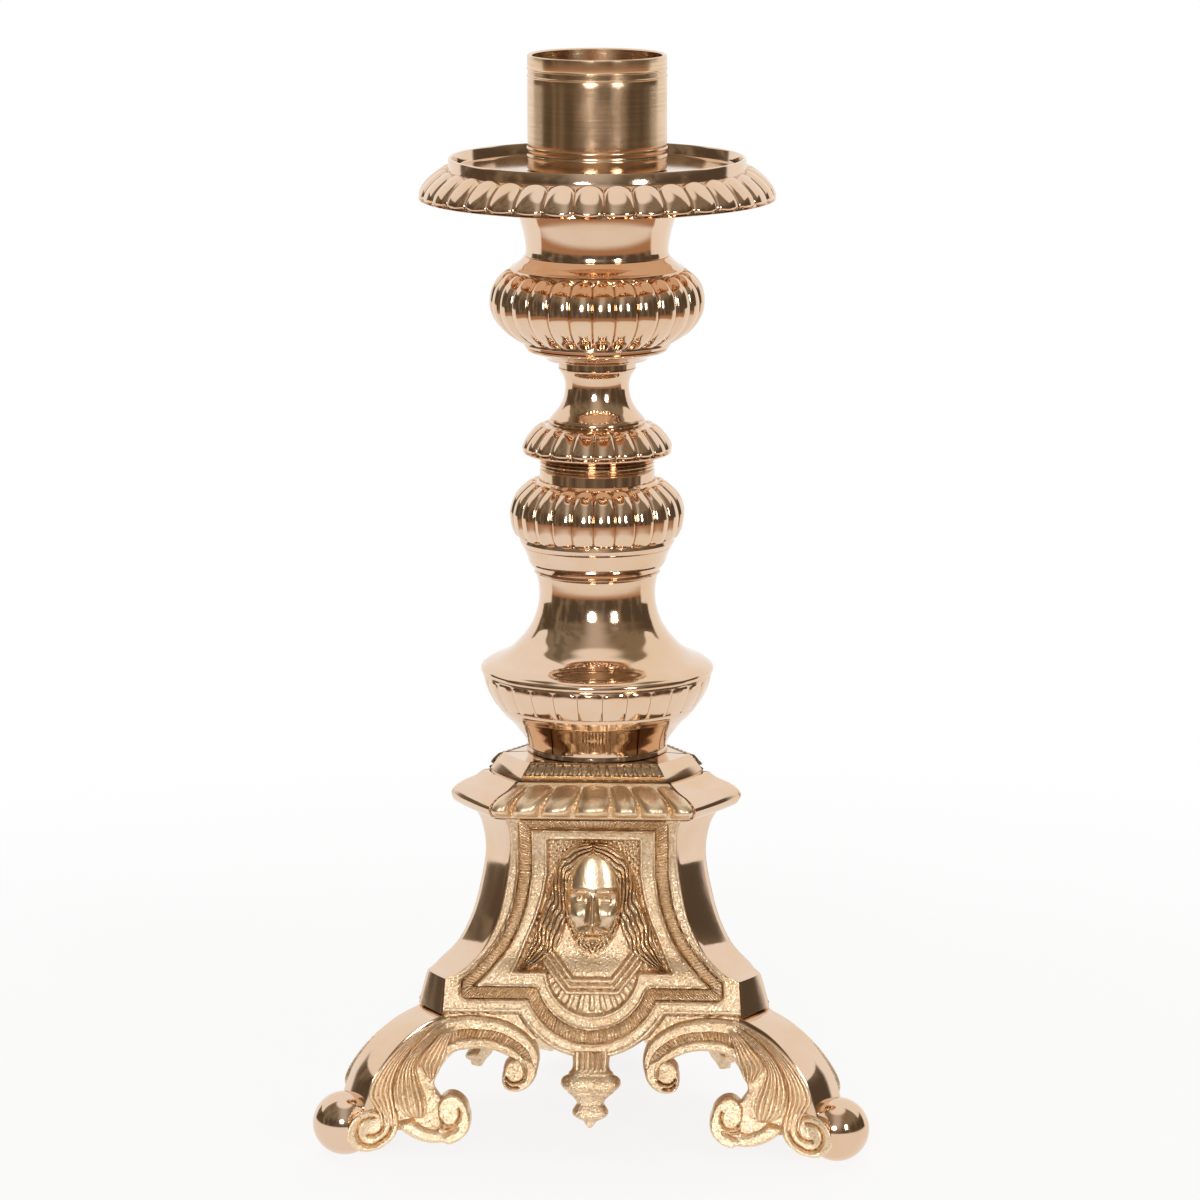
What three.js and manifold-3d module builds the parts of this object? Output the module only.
// A turned and cast brass altar candlestick on a three-sided base.
// Millimetres, +Z up, the front face looks along -Y, and the table is z = 0.
import * as THREE from "three";
import { mergeVertices } from "three/addons/utils/BufferGeometryUtils.js";
import Module from "manifold-3d";

const wasm = await Module();
wasm.setup();

// Clearances
const SEAT_GAP = 0.3; // between cast pieces of the base, and under the pieces that lift off
const BORE_GAP = 0.3; // all round the tie rod in every bore

// Tie rod, nuts and washer
const ROD_RADIUS = 4.0;
const ROD_BELOW_NUT = 3.0; // thread that stands out under the base nut
const ROD_IN_SOCKET = 7.0; // thread that the candle socket screws onto
const NUT_ACROSS = 13.0;
const NUT_HEIGHT = 6.5;
const STEM_NUT_HEIGHT = 4.5;
const NUT_ROOM = 1.5; // round the stem nut, in the neck's recess
const WASHER_RADIUS = 11.0;
const WASHER_THICKNESS = 1.6;

// Ball toes and scroll feet
const FOOT_HEIGHT = 43.5; // from the table to the underside of the body
const TOE_REACH = 91.5; // from the axis to the middle of a ball toe
const TOE_RADIUS = 10.3;
const TOE_FLAT_DEPTH = 0.4;
const RIDGE_WIDTH = 16.6;
const FOOT_THICKNESS = 9.0;
const FOOT_ROOT = 4.4; // from the block's face inwards, where the foot meets the body
const FOOT_SIDE_THICKNESS = 5.0;
const TOE_SCROLL_RADIUS = 9.0;
const TOE_SCROLL_INSET = 3.6; // from the ball's middle back to the scroll's middle
const TOE_SCROLL_PLATE = 2.8;
const LOWER_SCROLL_RADIUS = 6.6;
const LOWER_SCROLL_HEIGHT = 14.3;
const LOWER_SCROLL_BACK = 32.8; // along the face, from the ball's middle back to the scroll's middle

// Body
const BODY_HEIGHT = 63.5;
const BODY_WALL = 3.6;
const BLOCK_HEIGHT = 12.3;
const FACE_WAIST = 25.6; // distance of a face from the axis, where the body is narrowest
const FACE_SPREAD = 12.6; // what the foot of a face stands out beyond the waist
const CORNER_WAIST = 36.7; // distance of a corner strip from the axis, where the body is narrowest
const CORNER_SPREAD = 24.7;
const BLOCK_SHAPE = [[0, 1, 1], [1, 0.73, 0.895]]; // shares of the block's height and of the two spreads
const STRIP_SHAPE = [ // shares of the height above the block and of the two spreads
  [0.005, 0.722, 0.806], [0.127, 0.429, 0.506], [0.258, 0.254, 0.279], [0.424, 0.127, 0.126],
  [0.697, 0, 0], [0.883, 0.119, 0.008], [1, 0.349, 0.077],
];

// Face casting: frame, pocket, lobe, scrolls and pendant, with heights above the body's underside
const APRON_LEAN = 0.35; // outward run of the apron for each millimetre down
const APRON_WALL = 4.2;
const ARM_HEIGHT = 1.0; // from the body's underside up to the frame's arms
const LOBE_RADIUS = 27.0;
const LOBE_CENTRE = 14.6;
const CHANNEL_DEPTH = 0.8;
const CHANNEL_WIDTH = 4.2;
const FRAME_BORDER = 4.4; // from the lobe's edge to the channel
const POCKET_DEPTH = 1.8;
const POCKET_RADIUS = 15.0;
const POCKET_CENTRE = 15.5;
const POCKET_ARM = 26.0;
const POCKET_FOOT = 13.9;
const POCKET_TOP_MARGIN = 7.3; // from the pocket's top up to the body's top
const POCKET_TOP_HALF = 15.0;
const HEAD_HALF_WIDTH = 9.4;
const HEAD_HALF_HEIGHT = 14.0;
const HEAD_DEPTH = 5.6;
const HEAD_BELOW_TOP = 28.3; // from the body's top down to the middle of the head
const HAIR_THICKNESS = 4.5;
const HAIR_DEPTH = 3.8;
const SHOULDER_HALF = 12.6;
const SHOULDER_FOOT = 8.4;
const SHOULDER_HEIGHT = 15.6;
const SHOULDER_RELIEF = 0.2;
const ARCH_RELIEF = 0.4;
const ARCH_END = 43.5; // half width of a face where an arch meets the foot's leaf
const ARCH_DROP = 12.0; // from the body's underside down to the arch's opening
const ARCH_SCROLL_RADIUS = 7.0;
const ARCH_SCROLL_X = 24.4;
const ARCH_SCROLL_Z = -15.6;
const SPANDREL_RECESS = 1.5;
const PENDANT_RELIEF = 0.6;
const PENDANT_HALF = 9.4;
const PENDANT_DROP = 21.0; // from the lobe's edge down to the tip

// Cap, in two tiers
const CAP_HEIGHT = 11.5;
const CAP_ROOF = 3.5;
const CAP_WALL = 5.0;
const CAP_OVERHANG = 5.0; // what a side of the cap stands out in width beyond the body's face, each way
const CAP_CORNER_GAIN = 3.1; // what a corner of the cap is wider than the strip under it
const CAP_TOP_HALF = 24.6; // half width of a side at the top
const CAP_TOP_CORNER = 22.8;
const CAP_SHAPE = [[0, 0.4], [0.139, 0.85], [0.313, 1], [0.522, 0.84], [0.809, 0.37], [1, 0]];
const CAP_LOBES = 7; // gadroons on each side
const CAP_GROOVE = 0.9;
const CAP_PLATE_HEIGHT = 5.5;
const CAP_PLATE_HALF = 20.6;
const CAP_PLATE_CORNER = 19.0;
const CAP_PLATE_SPREAD = 2.8;
const CAP_PLATE_SHAPE = [[0, 1], [0.182, 0.86], [0.436, 0.25], [1, 0]];

// Stem pieces from the bottom up
const BOWL_HEIGHT = 26.0;
const BOWL_FOOT_RADIUS = 20.8;
const BOWL_INSET = 0.7; // from the vase's rim in to the bowl's edge
const BOWL_LOBES = 28;
const VASE_HEIGHT = 36.2;
const VASE_RIM_RADIUS = 37.7;
const VASE_WAIST_RADIUS = 18.8;
const VASE_COLLAR_HEIGHT = 5.4;
const VASE_COLLAR_RADIUS = 21.8;
const LOWER_KNOP_HEIGHT = 19.9;
const LOWER_KNOP_RADIUS = 28.3;
const LOWER_KNOP_LOBES = 24;
const KNOP_COLLAR_HEIGHT = 7.8;
const KNOP_COLLAR_RADIUS = 18.7;
const CANOPY_HEIGHT = 13.5;
const CANOPY_RADIUS = 24.3;
const CANOPY_TOP_RADIUS = 15.4;
const CANOPY_LOBES = 20;
const SPOOL_HEIGHT = 16.7;
const SPOOL_RADIUS = 10.3;
const SPOOL_FOOT_RADIUS = 15.0;
const SPOOL_RING_HEIGHT = 2.5;
const SPOOL_RING_RADIUS = 12.5;
const UPPER_KNOP_HEIGHT = 27.5;
const UPPER_KNOP_RADIUS = 34.6;
const UPPER_KNOP_LOBES = 28;
const KNOP_BAND_HEIGHT = 6.2;
const KNOP_BAND_RADIUS = 27.9;
const NECK_HEIGHT = 17.6;
const NECK_RADIUS = 22.9;
const NECK_TOP_RADIUS = 25.6;
const CAST_WALL = 3.5; // wall of the hollow stem pieces
const CAST_END = 3.0; // thickness of their ends
const LOBE_DEPTH = 1.1; // how deep the grooves between the lobes run

// Drip pan
const PAN_RADIUS = 57.5;
const PAN_LOBES = 36;
const PAN_RIM_RADIUS = 47.7;
const PAN_RIM_WALL = 1.4;
const PAN_RIM_HEIGHT = 3.8; // above the pan's floor
const PAN_FLOOR = 9.7; // height of the floor above the pan's seat
const PAN_PLATE = 2.2;
const PAN_SKIRT_DEPTH = 9.8;
const PAN_HUB_INSET = 1.6; // from the neck's edge in to the pan's hub
const PAN_RIM_STEP = 2.8; // from the rim's top down to the skirt

// Candle socket
const SOCKET_RADIUS = 22.3;
const SOCKET_WALL = 1.5;
const SOCKET_HEIGHT = 36.4;
const SOCKET_FLOOR = 10.0; // solid brass under the candle, with the thread in it
const SOCKET_GROOVE_DEPTH = 0.3;
const SOCKET_GROOVE_WIDTH = 2.7;
const SOCKET_LIP = 4.0; // from the top down to the groove
const SOCKET_BEAD = 0.2;
const SOCKET_BEAD_HEIGHT = 4.4;
const SOCKET_BEAD_WIDTH = 3.0;

const BORE_SIDES = 16;
const SMALL_SIDES = 24;
const ROUND_SIDES = 36;
const THIRD_TURN = (2 * Math.PI) / 3;
const CORNER_ANGLE = -Math.PI / 6;
const COS_30 = Math.cos(Math.PI / 6);
const TAN_30 = Math.tan(Math.PI / 6);
const BEYOND = 4 * TOE_REACH; // well past the whole object

const POLISHED_BRASS = { color: 0xd9a878, roughness: 0.12, metalness: 1 };
const CAST_BRASS = { color: 0xb98d58, roughness: 0.42, metalness: 1 };
const STEEL = { color: 0x9a9a98, roughness: 0.35, metalness: 1 };

/** The body's sections: height above its underside, distance of a face, distance of a corner strip. */
const BODY_SECTIONS = [
  ...BLOCK_SHAPE.map(([up, face, corner]) => bodySection(up * BLOCK_HEIGHT, face, corner)),
  ...STRIP_SHAPE.map(([up, face, corner]) =>
    bodySection(BLOCK_HEIGHT + up * (BODY_HEIGHT - BLOCK_HEIGHT), face, corner)),
];

// Heights of the joints between the pieces
const bodyFoot = FOOT_HEIGHT;
const capFoot = bodyFoot + BODY_HEIGHT;
const plateFoot = capFoot + CAP_HEIGHT;
const bowlFoot = plateFoot + CAP_PLATE_HEIGHT;
const vaseFoot = bowlFoot + BOWL_HEIGHT;
const vaseCollarFoot = vaseFoot + VASE_HEIGHT;
const lowerKnopFoot = vaseCollarFoot + VASE_COLLAR_HEIGHT;
const knopCollarFoot = lowerKnopFoot + LOWER_KNOP_HEIGHT;
const canopyFoot = knopCollarFoot + KNOP_COLLAR_HEIGHT;
const spoolFoot = canopyFoot + CANOPY_HEIGHT;
const spoolRingFoot = spoolFoot + SPOOL_HEIGHT;
const upperKnopFoot = spoolRingFoot + SPOOL_RING_HEIGHT;
const knopBandFoot = upperKnopFoot + UPPER_KNOP_HEIGHT;
const neckFoot = knopBandFoot + KNOP_BAND_HEIGHT;
const panSeat = neckFoot + NECK_HEIGHT + SEAT_GAP;
const stemNutFoot = neckFoot + NECK_HEIGHT - CAST_END - STEM_NUT_HEIGHT;
const socketSeat = panSeat + PAN_FLOOR + SEAT_GAP;
const capRoof = plateFoot - CAP_ROOF;
const rodFoot = capRoof - SEAT_GAP - WASHER_THICKNESS - NUT_HEIGHT - ROD_BELOW_NUT;
const rodTop = socketSeat + ROD_IN_SOCKET;

/** One section of the body from the shares of its two spreads. */
function bodySection(height, face, corner) {
  return [height, FACE_WAIST + face * FACE_SPREAD, CORNER_WAIST + corner * CORNER_SPREAD];
}

/** A closed geometry as a solid for joining and cutting. */
function solid(geometry) {
  const bare = geometry.clone();
  bare.deleteAttribute("normal");
  bare.deleteAttribute("uv");
  const merged = mergeVertices(bare, 1e-4);
  const index = merged.index.array;
  const kept = [];
  for (let i = 0; i < index.length; i += 3) {
    const [a, b, c] = [index[i], index[i + 1], index[i + 2]];
    if (a !== b && b !== c && c !== a) kept.push(a, b, c);
  }
  return new wasm.Manifold(new wasm.Mesh({
    numProp: 3,
    vertProperties: new Float32Array(merged.attributes.position.array),
    triVerts: new Uint32Array(kept),
  }));
}

/** The solid's surface as a geometry for a mesh. */
function surface(body) {
  const mesh = body.getMesh();
  const geometry = new THREE.BufferGeometry();
  const stride = mesh.numProp;
  const count = mesh.vertProperties.length / stride;
  const position = new Float32Array(count * 3);
  for (let i = 0; i < count; i += 1) {
    position.set(mesh.vertProperties.subarray(i * stride, i * stride + 3), i * 3);
  }
  geometry.setAttribute("position", new THREE.BufferAttribute(position, 3));
  geometry.setIndex(new THREE.BufferAttribute(new Uint32Array(mesh.triVerts), 1));
  geometry.computeVertexNormals();
  return geometry;
}

/** A smooth run of points through a few given ones. */
function curve(points, count) {
  const path = new THREE.SplineCurve(points.map(([a, b]) => new THREE.Vector2(a, b)));
  return path.getPoints(count).map((point) => [point.x, point.y]);
}

/** An outline from shares of the way from an inner to an outer radius, and of a height, with its grooves. */
function profile(inner, outer, height, shares) {
  return shares.map(([across, up, groove]) => [inner + across * (outer - inner), up * height, groove]);
}

/**
 * A solid of revolution about the axis. The outline runs upwards as [radius, height, groove],
 * where groove is the share of the lobe depth that is cut at every second vertex.
 */
function turned(outline, foot, segments) {
  const first = outline[0];
  const last = outline[outline.length - 1];
  const rows = [[0, first[1]], ...outline, [0, last[1]]];
  const points = rows.map(([radius, height]) => new THREE.Vector2(radius, height + foot));
  const geometry = new THREE.LatheGeometry(points, segments);
  const position = geometry.attributes.position;
  for (let i = 0; i < position.count; i += 1) {
    const groove = rows[i % rows.length][2] ?? 0;
    const column = Math.floor(i / rows.length);
    if (groove === 0 || column % 2 === 1) continue;
    const radius = Math.hypot(position.getX(i), position.getZ(i));
    const share = (radius - groove * LOBE_DEPTH) / radius;
    position.setX(i, position.getX(i) * share);
    position.setZ(i, position.getZ(i) * share);
  }
  geometry.rotateX(Math.PI / 2);
  return solid(geometry);
}

/** A plain round bar about the axis. */
function bar(radius, foot, top, segments) {
  return turned([[radius, 0], [radius, top - foot]], foot, segments);
}

/** Drills the bore for the tie rod right through a piece. */
function bored(body, foot, top) {
  return body.subtract(bar(ROD_RADIUS + BORE_GAP, foot - 1, top + 1, BORE_SIDES));
}

/** Hollows a stem piece inside an outline that keeps its wall, and drills its ends. */
function hollow(body, outline, foot, height) {
  const inside = outline
    .filter(([, z]) => z > CAST_END && z < height - CAST_END)
    .filter((_, i) => i % 2 === 0)
    .map(([radius, z]) => [Math.max(radius - CAST_WALL, ROD_RADIUS + 2 * BORE_GAP), z]);
  const first = inside[0];
  const last = inside[inside.length - 1];
  const rows = [[first[0], CAST_END], ...inside, [last[0], height - CAST_END]];
  const cavity = turned(rows, foot, BORE_SIDES);
  return bored(body.subtract(cavity), foot, foot + height);
}

/** A plane outline pushed along the third direction of a frame, from one distance to another. */
function prism(outline, frame, from, to) {
  const shape = new THREE.Shape(outline.map(([a, b]) => new THREE.Vector2(a, b)));
  const geometry = new THREE.ExtrudeGeometry(shape, { depth: to - from, bevelEnabled: false });
  geometry.translate(0, 0, from);
  geometry.applyMatrix4(frame);
  return solid(geometry);
}

const SIDEWAYS = new THREE.Matrix4().makeBasis(
  new THREE.Vector3(0, 1, 0), new THREE.Vector3(0, 0, 1), new THREE.Vector3(1, 0, 0));
const FORWARDS = new THREE.Matrix4().makeBasis(
  new THREE.Vector3(1, 0, 0), new THREE.Vector3(0, 0, 1), new THREE.Vector3(0, -1, 0));
const ACROSS_CORNER = new THREE.Matrix4().makeBasis(
  new THREE.Vector3(Math.cos(CORNER_ANGLE), Math.sin(CORNER_ANGLE), 0),
  new THREE.Vector3(0, 0, 1),
  new THREE.Vector3(Math.sin(CORNER_ANGLE), -Math.cos(CORNER_ANGLE), 0));

/** A solid through rings of the same number of points, each ring convex and level. */
function loft(rings) {
  const size = rings[0].points.length;
  const position = rings.flatMap(({ z, points }) => points.flatMap(([x, y]) => [x, y, z]));
  const index = [];
  for (let level = 0; level + 1 < rings.length; level += 1) {
    for (let i = 0; i < size; i += 1) {
      const a = level * size + i;
      const b = level * size + (i + 1) % size;
      index.push(a, b, b + size, a, b + size, a + size);
    }
  }
  const roof = (rings.length - 1) * size;
  for (let i = 1; i + 1 < size; i += 1) {
    index.push(0, i + 1, i, roof, roof + i, roof + i + 1);
  }
  const geometry = new THREE.BufferGeometry();
  geometry.setAttribute("position", new THREE.Float32BufferAttribute(position, 3));
  geometry.setIndex(index);
  return solid(geometry);
}

/** Turns a point about the axis. */
function turnedPoint([x, y], angle) {
  return [
    x * Math.cos(angle) - y * Math.sin(angle),
    x * Math.sin(angle) + y * Math.cos(angle),
  ];
}

/** The six-cornered section with faces of a half width at a distance from the axis. */
function threeSided(halfWidth, distance) {
  return [0, 1, 2].flatMap((side) => [
    turnedPoint([-halfWidth, -distance], side * THIRD_TURN),
    turnedPoint([halfWidth, -distance], side * THIRD_TURN),
  ]);
}

/** Half width of a face, from the distances of the face and of the corner strip. */
function faceHalfWidth(face, corner) {
  return (corner - face / 2) / COS_30;
}

/** Width of a corner strip, from the distances of the face and of the strip. */
function stripWidth(face, corner) {
  return face / TAN_30 - faceHalfWidth(face, corner);
}

/** The body's outer sections, drawn in by a wall. */
function bodyRings(wall) {
  return BODY_SECTIONS.map(([height, face, corner]) => ({
    z: bodyFoot + height,
    points: threeSided(faceHalfWidth(face - wall, corner - wall), face - wall),
  }));
}

/** The wedge that a corner strip fills between two face castings, widened by a gap. */
function cornerWedge(gap) {
  const out = 3 * BODY_WALL;
  const rings = BODY_SECTIONS.map(([height, face, corner]) => {
    const half = stripWidth(face, corner) / 2 + gap;
    const wide = half + out * TAN_30;
    return {
      z: bodyFoot + height,
      points: [
        turnedPoint([corner - half / TAN_30, 0], CORNER_ANGLE),
        turnedPoint([corner + out, -wide], CORNER_ANGLE),
        turnedPoint([corner + out, wide], CORNER_ANGLE),
      ],
    };
  });
  const last = rings[rings.length - 1];
  return loft([...rings, { z: last.z + 1, points: last.points }]);
}

/** Distance of the face casting's front from the axis, at a height above the body's underside. */
function faceDistance(height) {
  if (height <= 0) return BODY_SECTIONS[0][1] - APRON_LEAN * height;
  const above = BODY_SECTIONS.findIndex(([level]) => level >= height);
  const [h1, d1] = BODY_SECTIONS[above];
  const [h0, d0] = BODY_SECTIONS[above - 1];
  return d0 + ((d1 - d0) * (height - h0)) / (h1 - h0);
}

/** A curved slab that follows the face, from a depth behind its front to a depth before it. */
function faceSlab(front, behind) {
  const low = [-bodyFoot, faceDistance(-bodyFoot)];
  const rows = [low, ...BODY_SECTIONS.map(([height, face]) => [height, face])];
  const outer = rows.map(([height, distance]) => [-distance - front, bodyFoot + height]);
  const inner = rows.map(([height, distance]) => [-distance + behind, bodyFoot + height]);
  return prism([...inner.reverse(), ...outer], SIDEWAYS, -BEYOND, BEYOND);
}

/** Mirrors the left half of an outline, given from the bottom up, to a whole one. */
function mirrored(left) {
  return [...left.map(([x, z]) => [-x, z]), ...left.reverse()];
}

/** An arc of the lobe, at a distance inside its edge, up to a level. */
function lobeArc(inset, level) {
  const radius = LOBE_RADIUS - inset;
  const end = Math.asin(Math.min((LOBE_CENTRE - level) / radius, 1));
  const points = [];
  for (let i = 0; i <= 6; i += 1) {
    const angle = Math.PI / 2 + ((Math.PI / 2 - end) * i) / 6;
    points.push([Math.cos(angle) * radius, LOBE_CENTRE - Math.sin(angle) * radius]);
  }
  return points;
}

/** A plane outline on the front face, in heights above the body's underside, pushed right through it. */
function throughFace(outline) {
  return prism(outline.map(([x, z]) => [x, z + bodyFoot]), FORWARDS, 0, BEYOND);
}

/** The frame's outline at a distance inside the casting's edge. */
function frameOutline(inset) {
  const arm = ARM_HEIGHT + inset;
  const sides = BODY_SECTIONS.filter(([height]) => height > arm + ARM_HEIGHT)
    .map(([height, face, corner]) => [-faceHalfWidth(face, corner) + inset, height]);
  const foot = [sides[0][0], arm];
  return mirrored([...lobeArc(inset, arm), foot, ...sides]);
}

/** The recess for the bust, with a round foot and two short arms. */
function pocketOutline() {
  const points = [];
  for (let i = 0; i <= 5; i += 1) {
    const angle = Math.PI / 2 + (Math.PI / 2) * (i / 5) * 0.93;
    points.push([Math.cos(angle) * POCKET_RADIUS, POCKET_CENTRE - Math.sin(angle) * POCKET_RADIUS]);
  }
  const height = BODY_HEIGHT - POCKET_TOP_MARGIN - POCKET_FOOT;
  const side = curve(profile(POCKET_TOP_HALF, POCKET_ARM, height, [
    [1, 0], [0.573, 0.217], [0.2, 0.468], [0, 0.723], [-0.036, 1],
  ]), 5);
  return mirrored([...points, ...side.map(([x, z]) => [-x, z + POCKET_FOOT])]);
}

/** The line between an arch and the leaf of the right foot, from the top down. */
function crease() {
  return [[0, -0.025], [0.1, -0.5], [0.05, -1]].map(([across, up]) =>
    [ARCH_END + across * ARCH_DROP, up * ARCH_DROP]);
}

/** The left arch with its scroll, drawn below the frame's arm. */
function archOutline() {
  const span = ARCH_END - ARCH_SCROLL_X;
  const run = (shares) => shares.map(([across, up]) => [-ARCH_SCROLL_X - across * span, up * ARCH_DROP]);
  const round = (shares) => shares.map(([across, up]) =>
    [-ARCH_SCROLL_X + across * ARCH_SCROLL_RADIUS, ARCH_SCROLL_Z + up * ARCH_SCROLL_RADIUS]);
  const outer = curve([
    ...run([[0.97, 0.117], [0.48, 0.033], [0.084, -0.167]]),
    ...round([[0.686, 1.286], [1.07, 0.514], [0.886, -0.343], [0, -1]]),
  ], 7);
  const inner = curve([
    ...round([[-0.6, -0.714], [-0.757, -0.171], [-0.457, 0.514]]),
    ...run([[0.356, -0.85], [0.581, -0.783], [0.827, -0.858]]),
  ], 6);
  return [...outer, ...inner, ...crease().map(([x, z]) => [-x, z]).reverse()];
}

/** The pendant's outline from its tip up to the lobe. */
function pendantOutline() {
  const foot = LOBE_CENTRE - LOBE_RADIUS - PENDANT_DROP;
  const left = profile(0, -PENDANT_HALF, PENDANT_DROP, [
    [0.06, 0], [0.2, 0.086], [0.574, 0.152], [0.6, 0.276], [0.49, 0.333], [0.766, 0.505],
    [1, 0.59], [1, 0.705], [0.68, 0.829], [0.63, 1.07],
  ]);
  return mirrored(left.map(([x, z]) => [x, z + foot]));
}

/** An ellipsoid with its middle at a point of the face. */
function egg(halfWidth, depth, halfHeight, height) {
  const geometry = new THREE.SphereGeometry(1, 10, 8);
  geometry.rotateX(Math.PI / 2);
  geometry.scale(halfWidth, depth, halfHeight);
  geometry.translate(0, -faceDistance(height) + POCKET_DEPTH, bodyFoot + height);
  return solid(geometry);
}

/** Head, hair and shoulders, which stand in the pocket and are cast with it. */
function bust() {
  const middle = BODY_HEIGHT - HEAD_BELOW_TOP;
  const head = egg(HEAD_HALF_WIDTH, HEAD_DEPTH, HEAD_HALF_HEIGHT, middle);
  const hair = egg(HEAD_HALF_WIDTH + HAIR_THICKNESS, HAIR_DEPTH, HEAD_HALF_HEIGHT + HAIR_THICKNESS, middle);
  const left = profile(0, -SHOULDER_HALF, SHOULDER_HEIGHT, [[0.63, 0], [1, 0.5], [0.71, 1]]);
  const shoulders = throughFace(mirrored(left.map(([x, z]) => [x, z + SHOULDER_FOOT])))
    .intersect(faceSlab(SHOULDER_RELIEF, POCKET_DEPTH + SHOULDER_RELIEF));
  return head.add(hair).add(shoulders);
}

/** The recessed ground between the lobe and the arches. */
function spandrel() {
  const inner = LOBE_RADIUS / 2;
  const left = [[-inner, ARCH_SCROLL_Z / 1.5], [-ARCH_SCROLL_X, -ARCH_DROP / 1.5], [1 - ARCH_END, 2 * ARM_HEIGHT]];
  return throughFace(mirrored(left)).intersect(faceSlab(-SPANDREL_RECESS, APRON_WALL));
}

/** One face casting: frame, channel, pocket with bust, lobe, arches with scrolls, and pendant. */
function faceCasting() {
  const within = [[-BEYOND, SEAT_GAP], [BEYOND, SEAT_GAP], [BEYOND, BODY_HEIGHT], [-BEYOND, BODY_HEIGHT]];
  const plate = throughFace(frameOutline(-2 * ARM_HEIGHT))
    .intersect(throughFace(within))
    .intersect(faceSlab(0, BODY_WALL));
  const lobe = throughFace(mirrored([...lobeArc(0, ARM_HEIGHT), [ARM_HEIGHT - LOBE_RADIUS, LOBE_CENTRE / 2]]))
    .intersect(faceSlab(0, APRON_WALL));
  const arch = throughFace(archOutline()).intersect(faceSlab(ARCH_RELIEF, APRON_WALL));
  const pendant = throughFace(pendantOutline())
    .intersect(faceSlab(PENDANT_RELIEF, APRON_WALL - PENDANT_RELIEF));
  const channel = throughFace(frameOutline(FRAME_BORDER))
    .subtract(throughFace(frameOutline(FRAME_BORDER + CHANNEL_WIDTH)))
    .intersect(faceSlab(PENDANT_RELIEF, CHANNEL_DEPTH));
  const pocket = throughFace(pocketOutline()).intersect(faceSlab(PENDANT_RELIEF, POCKET_DEPTH));
  const wedge = cornerWedge(SEAT_GAP);
  return plate.add(lobe).add(arch).add(arch.mirror([1, 0, 0])).add(spandrel()).add(pendant)
    .subtract(channel)
    .subtract(pocket)
    .add(bust())
    .subtract(wedge)
    .subtract(wedge.mirror([1, 0, 0]));
}

/** One polished corner strip with its block, between two face castings. */
function cornerStrip() {
  const inside = bodyRings(BODY_WALL);
  const low = { z: inside[0].z - 1, points: inside[0].points };
  const high = { z: capFoot + 1, points: inside[inside.length - 1].points };
  return loft(bodyRings(0)).subtract(loft([low, ...inside, high])).intersect(cornerWedge(0));
}

/** A quarter ellipse from the block down to the toe, at a depth under the ridge. */
function ridgeCurve(depth) {
  const start = BODY_SECTIONS[0][2] - 0.6;
  const foot = TOE_REACH - TOE_RADIUS * 0.5;
  const low = TOE_RADIUS * 1.75;
  const reach = foot - start - depth;
  const rise = FOOT_HEIGHT - SEAT_GAP - low - depth;
  const points = [];
  for (let i = 0; i <= 8; i += 1) {
    const angle = (Math.PI / 2) * (1 - i / 8);
    points.push([start + reach * Math.cos(angle), low + rise * Math.sin(angle)]);
  }
  return points;
}

/** The ball of one toe, before the foot's scrolls are let into it. */
function toeSphere(gap) {
  const geometry = new THREE.SphereGeometry(TOE_RADIUS + gap, 16, 10);
  geometry.rotateX(Math.PI / 2);
  const [x, y] = turnedPoint([TOE_REACH, 0], CORNER_ANGLE);
  geometry.translate(x, y, TOE_RADIUS - TOE_FLAT_DEPTH);
  return solid(geometry);
}

/** The round plates of the toe scrolls on both sides of a foot. */
function toeScrolls(gap, reach) {
  const middle = [TOE_REACH - TOE_SCROLL_INSET, TOE_RADIUS - TOE_FLAT_DEPTH + 0.2];
  const outline = [];
  for (let i = 0; i < BORE_SIDES; i += 1) {
    const angle = (2 * Math.PI * i) / BORE_SIDES;
    const radius = TOE_SCROLL_RADIUS + gap;
    outline.push([middle[0] + radius * Math.cos(angle), middle[1] + radius * Math.sin(angle)]);
  }
  const near = RIDGE_WIDTH / 2 - TOE_SCROLL_PLATE - gap;
  const plate = prism(outline, ACROSS_CORNER, near, reach);
  const other = prism(outline, ACROSS_CORNER, -reach, -near);
  return plate.add(other);
}

/** The inner side of a foot on the front face, right of the middle: leaf, leg and lower scroll. */
function footSide() {
  const top = FOOT_HEIGHT - SEAT_GAP;
  const scrollX = TOE_REACH * COS_30 - LOWER_SCROLL_BACK;
  const round = (shares) => shares.map(([across, up]) =>
    [scrollX + across * LOWER_SCROLL_RADIUS, LOWER_SCROLL_HEIGHT + up * LOWER_SCROLL_RADIUS]);
  const ridge = ridgeCurve(FOOT_THICKNESS / 2).map(([reach, z]) => [reach * COS_30 - RIDGE_WIDTH / 4, z]);
  const outline = [
    [ridge[0][0], top],
    ...crease().map(([x, z]) => [x + SEAT_GAP, z + bodyFoot]),
    ...curve(round([[0.12, 2.17], [0.58, 1.56], [0.67, 1.02]]), 3),
    ...curve(round([
      [0.18, 1], [-0.61, 0.74], [-1.06, 0], [-0.67, -0.62], [0.15, -1.14], [1.17, -1.35], [2.29, -0.74],
    ]), 8),
    [TOE_REACH * COS_30 - TOE_SCROLL_RADIUS * 0.8, TOE_RADIUS + 1.7],
    ...ridge.reverse(),
  ];
  return prism(outline.reverse(), FORWARDS, 0, BEYOND).intersect(faceSlab(0, FOOT_SIDE_THICKNESS));
}

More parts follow.
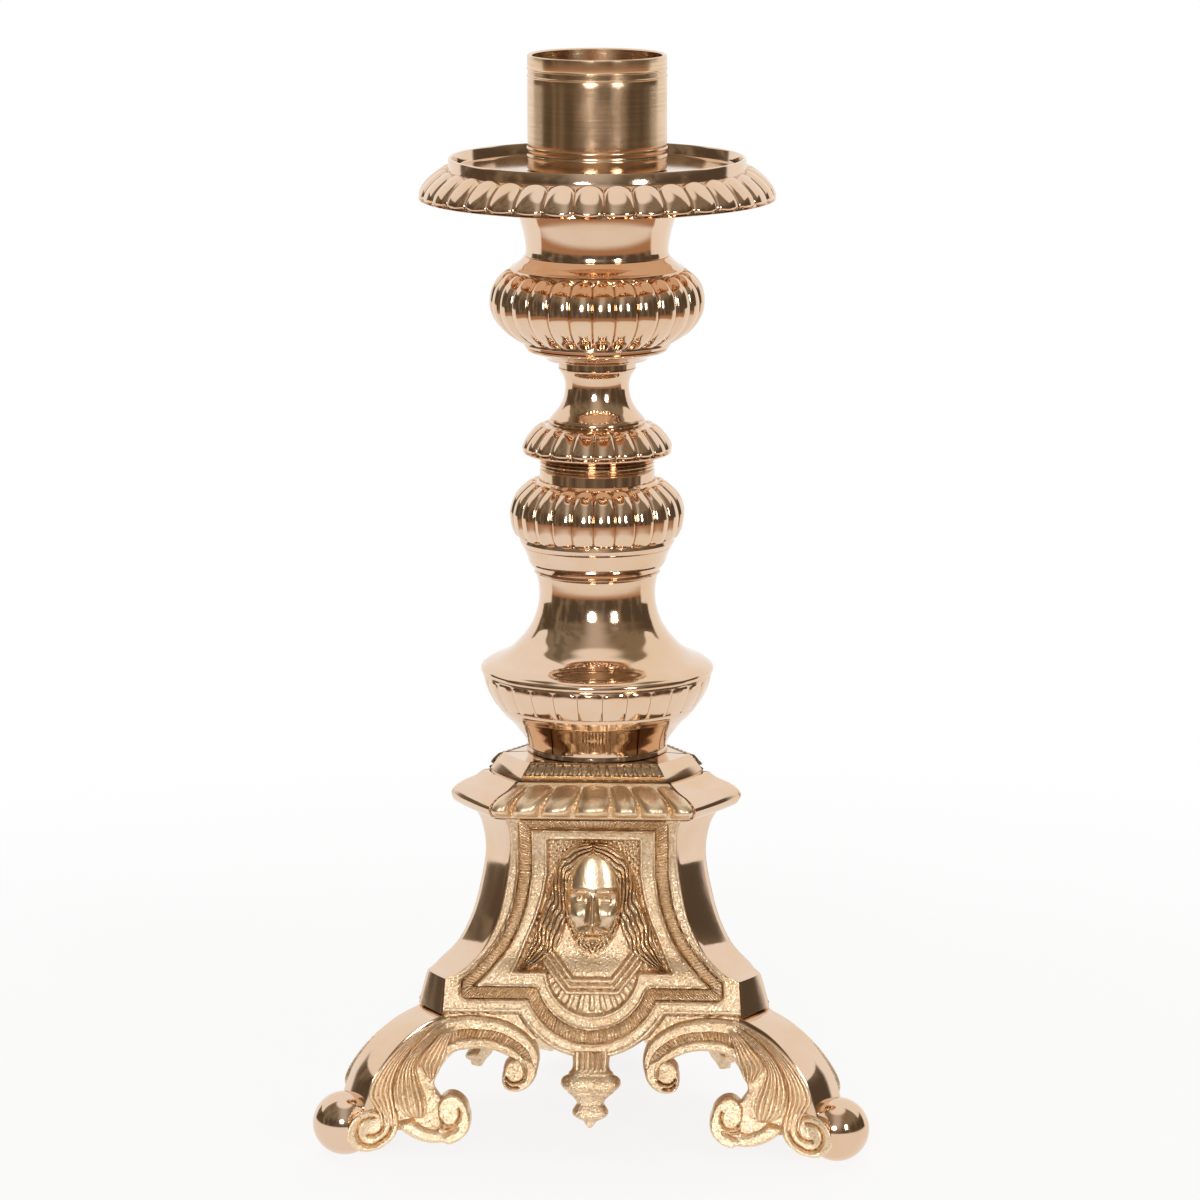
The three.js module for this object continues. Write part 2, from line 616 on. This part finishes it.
/** One scroll foot: the polished ridge, the two leafy sides and the toe scrolls. */
function scrollFoot() {
  const back = BODY_SECTIONS[0][2] - FOOT_ROOT;
  const outer = ridgeCurve(0);
  const inner = ridgeCurve(FOOT_THICKNESS).reverse();
  const ridge = prism(
    [...inner, [back, FOOT_HEIGHT - SEAT_GAP - FOOT_THICKNESS], [back, FOOT_HEIGHT - SEAT_GAP], ...outer],
    ACROSS_CORNER, -RIDGE_WIDTH / 2, RIDGE_WIDTH / 2);
  const side = footSide();
  const otherSide = side.mirror([1, 0, 0]).rotate([0, 0, 120]);
  return ridge.add(side).add(otherSide)
    .subtract(toeSphere(SEAT_GAP))
    .add(toeScrolls(0, RIDGE_WIDTH / 2));
}

/** One ball toe, ground flat underneath and let in between the two toe scrolls. */
function ballToe() {
  const floor = prism([[0, -TOE_RADIUS], [BEYOND, -TOE_RADIUS], [BEYOND, 0], [0, 0]],
    ACROSS_CORNER, -2 * TOE_RADIUS, 2 * TOE_RADIUS);
  return toeSphere(0).subtract(floor).subtract(toeScrolls(SEAT_GAP, 2 * TOE_RADIUS));
}

/** The three-sided rings of a cap tier from its shape, drawn in by a wall. */
function capRings(shape, foot, height, top, spread, wall) {
  return shape.map(([up, share]) => {
    const half = top.half + share * spread.half;
    const corner = top.corner + share * spread.corner;
    return {
      z: foot + up * height,
      points: threeSided(half - wall, (half + corner) * TAN_30 - wall),
    };
  });
}

/** The lower tier's rings, drawn in by a wall. */
function lowerTierRings(wall) {
  const [, face, corner] = BODY_SECTIONS[BODY_SECTIONS.length - 1];
  const spread = {
    half: faceHalfWidth(face, corner) + CAP_OVERHANG - CAP_TOP_HALF,
    corner: stripWidth(face, corner) + CAP_CORNER_GAIN - CAP_TOP_CORNER,
  };
  const top = { half: CAP_TOP_HALF, corner: CAP_TOP_CORNER };
  return capRings(CAP_SHAPE, capFoot, CAP_HEIGHT, top, spread, wall);
}

/** The grooves between the gadroons on one side of the cap, as thin three-sided rods. */
function capGrooves() {
  const rows = lowerTierRings(0).slice(1, -1).map(({ z, points }) => ({ z, half: -points[0][0], y: points[0][1] }));
  const grooves = [];
  for (let i = 1; i < CAP_LOBES; i += 1) {
    const share = (2 * i) / CAP_LOBES - 1;
    const rings = rows.map(({ z, half, y }) => ({
      z,
      points: [
        [share * half, y + CAP_GROOVE],
        [share * half - CAP_GROOVE, y - CAP_GROOVE],
        [share * half + CAP_GROOVE, y - CAP_GROOVE],
      ],
    }));
    grooves.push(loft(rings));
  }
  return grooves;
}

/** The cap's lower tier, hollow from below, with gadroons on its three sides. */
function baseCap() {
  const inside = lowerTierRings(CAP_WALL).slice(0, 4);
  inside.unshift({ z: capFoot - 1, points: inside[0].points });
  inside.push({ z: capRoof, points: inside[inside.length - 1].points });
  let body = loft(lowerTierRings(0)).subtract(loft(inside));
  for (const groove of capGrooves()) {
    for (const angle of [0, 120, 240]) body = body.subtract(groove.rotate([0, 0, angle]));
  }
  return bored(body, capRoof, plateFoot);
}

/** The cap's upper tier, on which the stem stands. */
function capPlate() {
  const top = { half: CAP_PLATE_HALF, corner: CAP_PLATE_CORNER };
  const spread = { half: CAP_PLATE_SPREAD, corner: CAP_PLATE_SPREAD };
  return bored(loft(capRings(CAP_PLATE_SHAPE, plateFoot, CAP_PLATE_HEIGHT, top, spread, 0)), plateFoot, bowlFoot);
}

/** The lobed bowl at the foot of the stem. */
function lobedBowl() {
  const outline = profile(BOWL_FOOT_RADIUS, VASE_RIM_RADIUS - BOWL_INSET, BOWL_HEIGHT, [
    [0, 0], [-0.04, 0.06], [0.11, 0.085], [0.28, 0.25], [0.35, 0.285, 0.6], [0.65, 0.515, 1],
    [0.91, 0.77, 1], [1, 1, 0.7],
  ]);
  return hollow(turned(outline, bowlFoot, 2 * BOWL_LOBES), outline, bowlFoot, BOWL_HEIGHT);
}

/** The waisted vase with its wide rim at the foot. */
function vase() {
  const rim = profile(VASE_WAIST_RADIUS, VASE_RIM_RADIUS, VASE_HEIGHT, [
    [0.984, 0], [1, 0.022], [0.979, 0.055], [0.841, 0.11],
  ]);
  const body = curve(profile(VASE_WAIST_RADIUS, VASE_RIM_RADIUS, VASE_HEIGHT, [
    [0.646, 0.146], [0.397, 0.249], [0.19, 0.387], [0.042, 0.552], [0, 0.718], [0.037, 0.884], [0.106, 1],
  ]), 8);
  const outline = [...rim, ...body];
  return hollow(turned(outline, vaseFoot, ROUND_SIDES), outline, vaseFoot, VASE_HEIGHT);
}

/** The collar between the vase and the lower knop. */
function vaseCollar() {
  const outline = profile(0, VASE_COLLAR_RADIUS, VASE_COLLAR_HEIGHT, [
    [0.968, 0], [1, 0.148], [1.023, 0.556], [1.06, 1],
  ]);
  return bored(turned(outline, vaseCollarFoot, ROUND_SIDES), vaseCollarFoot, lowerKnopFoot);
}

/** The lower lobed knop. */
function lowerKnop() {
  const outline = profile(KNOP_COLLAR_RADIUS, LOWER_KNOP_RADIUS, LOWER_KNOP_HEIGHT, [
    [0.469, 0], [0.615, 0.08, 0.5], [0.906, 0.271, 1], [1, 0.492, 1], [0.906, 0.724, 1],
    [0.646, 0.894, 1], [0.146, 1, 0.8],
  ]);
  return hollow(turned(outline, lowerKnopFoot, 2 * LOWER_KNOP_LOBES), outline, lowerKnopFoot, LOWER_KNOP_HEIGHT);
}

/** The banded collar on the lower knop. */
function knopCollar() {
  const outline = profile(0, KNOP_COLLAR_RADIUS, KNOP_COLLAR_HEIGHT, [[1, 0], [1, 0.64], [0.957, 0.69], [0.957, 1]]);
  return bored(turned(outline, knopCollarFoot, ROUND_SIDES), knopCollarFoot, canopyFoot);
}

/** The small lobed canopy with a flat band on top. */
function canopy() {
  const outline = profile(CANOPY_TOP_RADIUS, CANOPY_RADIUS, CANOPY_HEIGHT, [
    [0.28, 0], [1, 0.178, 1], [0.944, 0.385, 1], [0.719, 0.607, 1], [0.202, 0.83, 0.8], [0, 0.844], [0, 1],
  ]);
  return bored(turned(outline, canopyFoot, 2 * CANOPY_LOBES), canopyFoot, spoolFoot);
}

/** The narrow spool of the stem. */
function spool() {
  const outline = curve(profile(SPOOL_RADIUS, SPOOL_FOOT_RADIUS, SPOOL_HEIGHT, [
    [1, 0], [0.489, 0.144], [0.17, 0.311], [0, 0.599], [0.085, 0.778], [0.234, 1],
  ]), 7);
  return bored(turned(outline, spoolFoot, SMALL_SIDES), spoolFoot, spoolRingFoot);
}

/** The ring between the spool and the upper knop. */
function spoolRing() {
  const outline = profile(0, SPOOL_RING_RADIUS, SPOOL_RING_HEIGHT, [[0.976, 0], [1, 0.16], [1, 1]]);
  return bored(turned(outline, spoolRingFoot, SMALL_SIDES), spoolRingFoot, upperKnopFoot);
}

/** The upper lobed knop on its stepped foot. */
function upperKnop() {
  const outline = profile(SPOOL_RING_RADIUS, UPPER_KNOP_RADIUS, UPPER_KNOP_HEIGHT, [
    [0.05, 0], [0.186, 0.029], [0.213, 0.069], [0.421, 0.113], [0.493, 0.167], [0.516, 0.193],
    [0.729, 0.313, 1], [0.91, 0.458, 1], [1, 0.669, 1], [0.977, 0.829, 1], [0.873, 0.96, 1], [0.724, 1, 0.5],
  ]);
  return hollow(turned(outline, upperKnopFoot, 2 * UPPER_KNOP_LOBES), outline, upperKnopFoot, UPPER_KNOP_HEIGHT);
}

/** The banded cover that closes the upper knop. */
function knopBand() {
  const outline = profile(NECK_RADIUS, KNOP_BAND_RADIUS, KNOP_BAND_HEIGHT, [
    [1, 0], [1, 0.387], [0.46, 0.645], [0.14, 0.839], [0, 1],
  ]);
  return bored(turned(outline, knopBandFoot, ROUND_SIDES), knopBandFoot, neckFoot);
}

/** The neck under the drip pan, with a shelf inside for the stem nut and a recess above it. */
function neck() {
  const outline = profile(NECK_RADIUS, NECK_TOP_RADIUS, NECK_HEIGHT, [
    [0.07, 0], [0, 0.17], [0.22, 0.375], [0.63, 0.602], [1, 1],
  ]);
  const body = hollow(turned(outline, neckFoot, ROUND_SIDES), outline, neckFoot, NECK_HEIGHT);
  const shelf = bored(bar(NECK_RADIUS - CAST_WALL / 2, stemNutFoot - CAST_END, stemNutFoot, BORE_SIDES),
    stemNutFoot - CAST_END, stemNutFoot);
  const recess = bar(NUT_ACROSS / 2 / COS_30 + NUT_ROOM, stemNutFoot, panSeat, BORE_SIDES);
  return body.add(shelf).subtract(recess);
}

/** A hexagon nut on the tie rod. */
function hexNut(foot, height) {
  const radius = NUT_ACROSS / 2 / COS_30;
  return bored(bar(radius, foot, foot + height, 6), foot, foot + height);
}

/** The washer under the cap's roof. */
function washer(top) {
  return bored(bar(WASHER_RADIUS, top - WASHER_THICKNESS, top, 32), top - WASHER_THICKNESS, top);
}

/** The tie rod that holds the stem on the base and takes the candle socket. */
function tieRod() {
  const outline = [
    [ROD_RADIUS - 0.7, 0], [ROD_RADIUS, 0.7], [ROD_RADIUS, rodTop - rodFoot - 0.7],
    [ROD_RADIUS - 0.7, rodTop - rodFoot],
  ];
  return turned(outline, rodFoot, BORE_SIDES);
}

/** The drip pan: hub, floor, upright rim and lobed skirt, all one turning. */
function dripPan() {
  const hub = NECK_TOP_RADIUS - PAN_HUB_INSET;
  const underside = PAN_FLOOR - PAN_PLATE;
  const rimTop = PAN_FLOOR + PAN_RIM_HEIGHT;
  const skirtFoot = rimTop - PAN_RIM_STEP - PAN_SKIRT_DEPTH;
  const skirt = profile(PAN_RIM_RADIUS, PAN_RADIUS, PAN_SKIRT_DEPTH, [
    [0.755, 0, 0.4], [1, 0.06, 1], [0.857, 0.41, 1], [0.571, 0.755, 1], [0, 1, 0.3],
  ]);
  const outline = [
    [hub, 0], [hub, underside - 1], [PAN_RIM_RADIUS - CAST_WALL, underside],
    ...skirt.map(([radius, z, groove]) => [radius, z + skirtFoot, groove]), [PAN_RIM_RADIUS, rimTop],
  ];
  const body = turned(outline, panSeat, 2 * PAN_LOBES);
  const tray = bar(PAN_RIM_RADIUS - PAN_RIM_WALL, panSeat + PAN_FLOOR, panSeat + rimTop + 1, ROUND_SIDES);
  const recess = bar(hub - CAST_WALL, panSeat - 1, panSeat + underside, ROUND_SIDES);
  return bored(body.subtract(tray).subtract(recess), panSeat, panSeat + PAN_FLOOR);
}

/** The candle socket: a cup with a grooved band above, a beaded one below and a threaded floor. */
function candleSocket() {
  const radius = SOCKET_RADIUS;
  const bead = radius + SOCKET_BEAD;
  const beadTop = SOCKET_BEAD_HEIGHT + SOCKET_BEAD_WIDTH;
  const groove = radius - SOCKET_GROOVE_DEPTH;
  const grooveTop = SOCKET_HEIGHT - SOCKET_LIP;
  const outline = [
    [radius, 0], [bead, SOCKET_BEAD_HEIGHT], [bead, beadTop - 2 * SOCKET_BEAD], [radius, beadTop],
    [radius, grooveTop - SOCKET_GROOVE_WIDTH - SOCKET_GROOVE_DEPTH], [groove, grooveTop - SOCKET_GROOVE_WIDTH],
    [groove, grooveTop - SOCKET_GROOVE_DEPTH], [radius, grooveTop], [radius, SOCKET_HEIGHT],
  ];
  const cup = bar(radius - SOCKET_WALL, socketSeat + SOCKET_FLOOR, socketSeat + SOCKET_HEIGHT + 1, ROUND_SIDES);
  const thread = bar(ROD_RADIUS + BORE_GAP, socketSeat - 1, rodTop + SEAT_GAP, BORE_SIDES);
  return turned(outline, socketSeat, ROUND_SIDES).subtract(cup).subtract(thread);
}

const candlestick = new THREE.Group();

/** Adds a named piece, turned about the axis by a third of a turn for each step. */
function place(name, body, material, steps = 0) {
  const mesh = new THREE.Mesh(surface(body), new THREE.MeshStandardMaterial(material));
  mesh.name = name;
  mesh.rotation.z = steps * THIRD_TURN;
  candlestick.add(mesh);
}

const SIDES = ["front", "right", "left"];
const CORNERS = ["front_right", "back", "front_left"];
for (let step = 0; step < 3; step += 1) {
  place(`face_casting_${SIDES[step]}`, faceCasting(), CAST_BRASS, step);
  place(`corner_strip_${CORNERS[step]}`, cornerStrip(), POLISHED_BRASS, step);
  place(`scroll_foot_${CORNERS[step]}`, scrollFoot(), CAST_BRASS, step);
  place(`ball_toe_${CORNERS[step]}`, ballToe(), POLISHED_BRASS, step);
}
place("base_cap", baseCap(), POLISHED_BRASS);
place("cap_plate", capPlate(), POLISHED_BRASS);
place("lobed_bowl", lobedBowl(), POLISHED_BRASS);
place("vase", vase(), POLISHED_BRASS);
place("vase_collar", vaseCollar(), POLISHED_BRASS);
place("lower_knop", lowerKnop(), POLISHED_BRASS);
place("knop_collar", knopCollar(), POLISHED_BRASS);
place("canopy", canopy(), POLISHED_BRASS);
place("spool", spool(), POLISHED_BRASS);
place("spool_ring", spoolRing(), POLISHED_BRASS);
place("upper_knop", upperKnop(), POLISHED_BRASS);
place("knop_band", knopBand(), POLISHED_BRASS);
place("neck", neck(), POLISHED_BRASS);
place("tie_rod", tieRod(), STEEL);
place("stem_nut", hexNut(stemNutFoot, STEM_NUT_HEIGHT), STEEL);
place("base_washer", washer(capRoof - SEAT_GAP), STEEL);
place("base_nut", hexNut(capRoof - SEAT_GAP - WASHER_THICKNESS - NUT_HEIGHT, NUT_HEIGHT), STEEL);
place("drip_pan", dripPan(), POLISHED_BRASS);
place("candle_socket", candleSocket(), POLISHED_BRASS);

// The three toes are not centred about the stem from front to back, so the whole is moved to centre them.
const box = new THREE.Box3().setFromObject(candlestick, true);
candlestick.position.y = -(box.min.y + box.max.y) / 2;

export default candlestick;
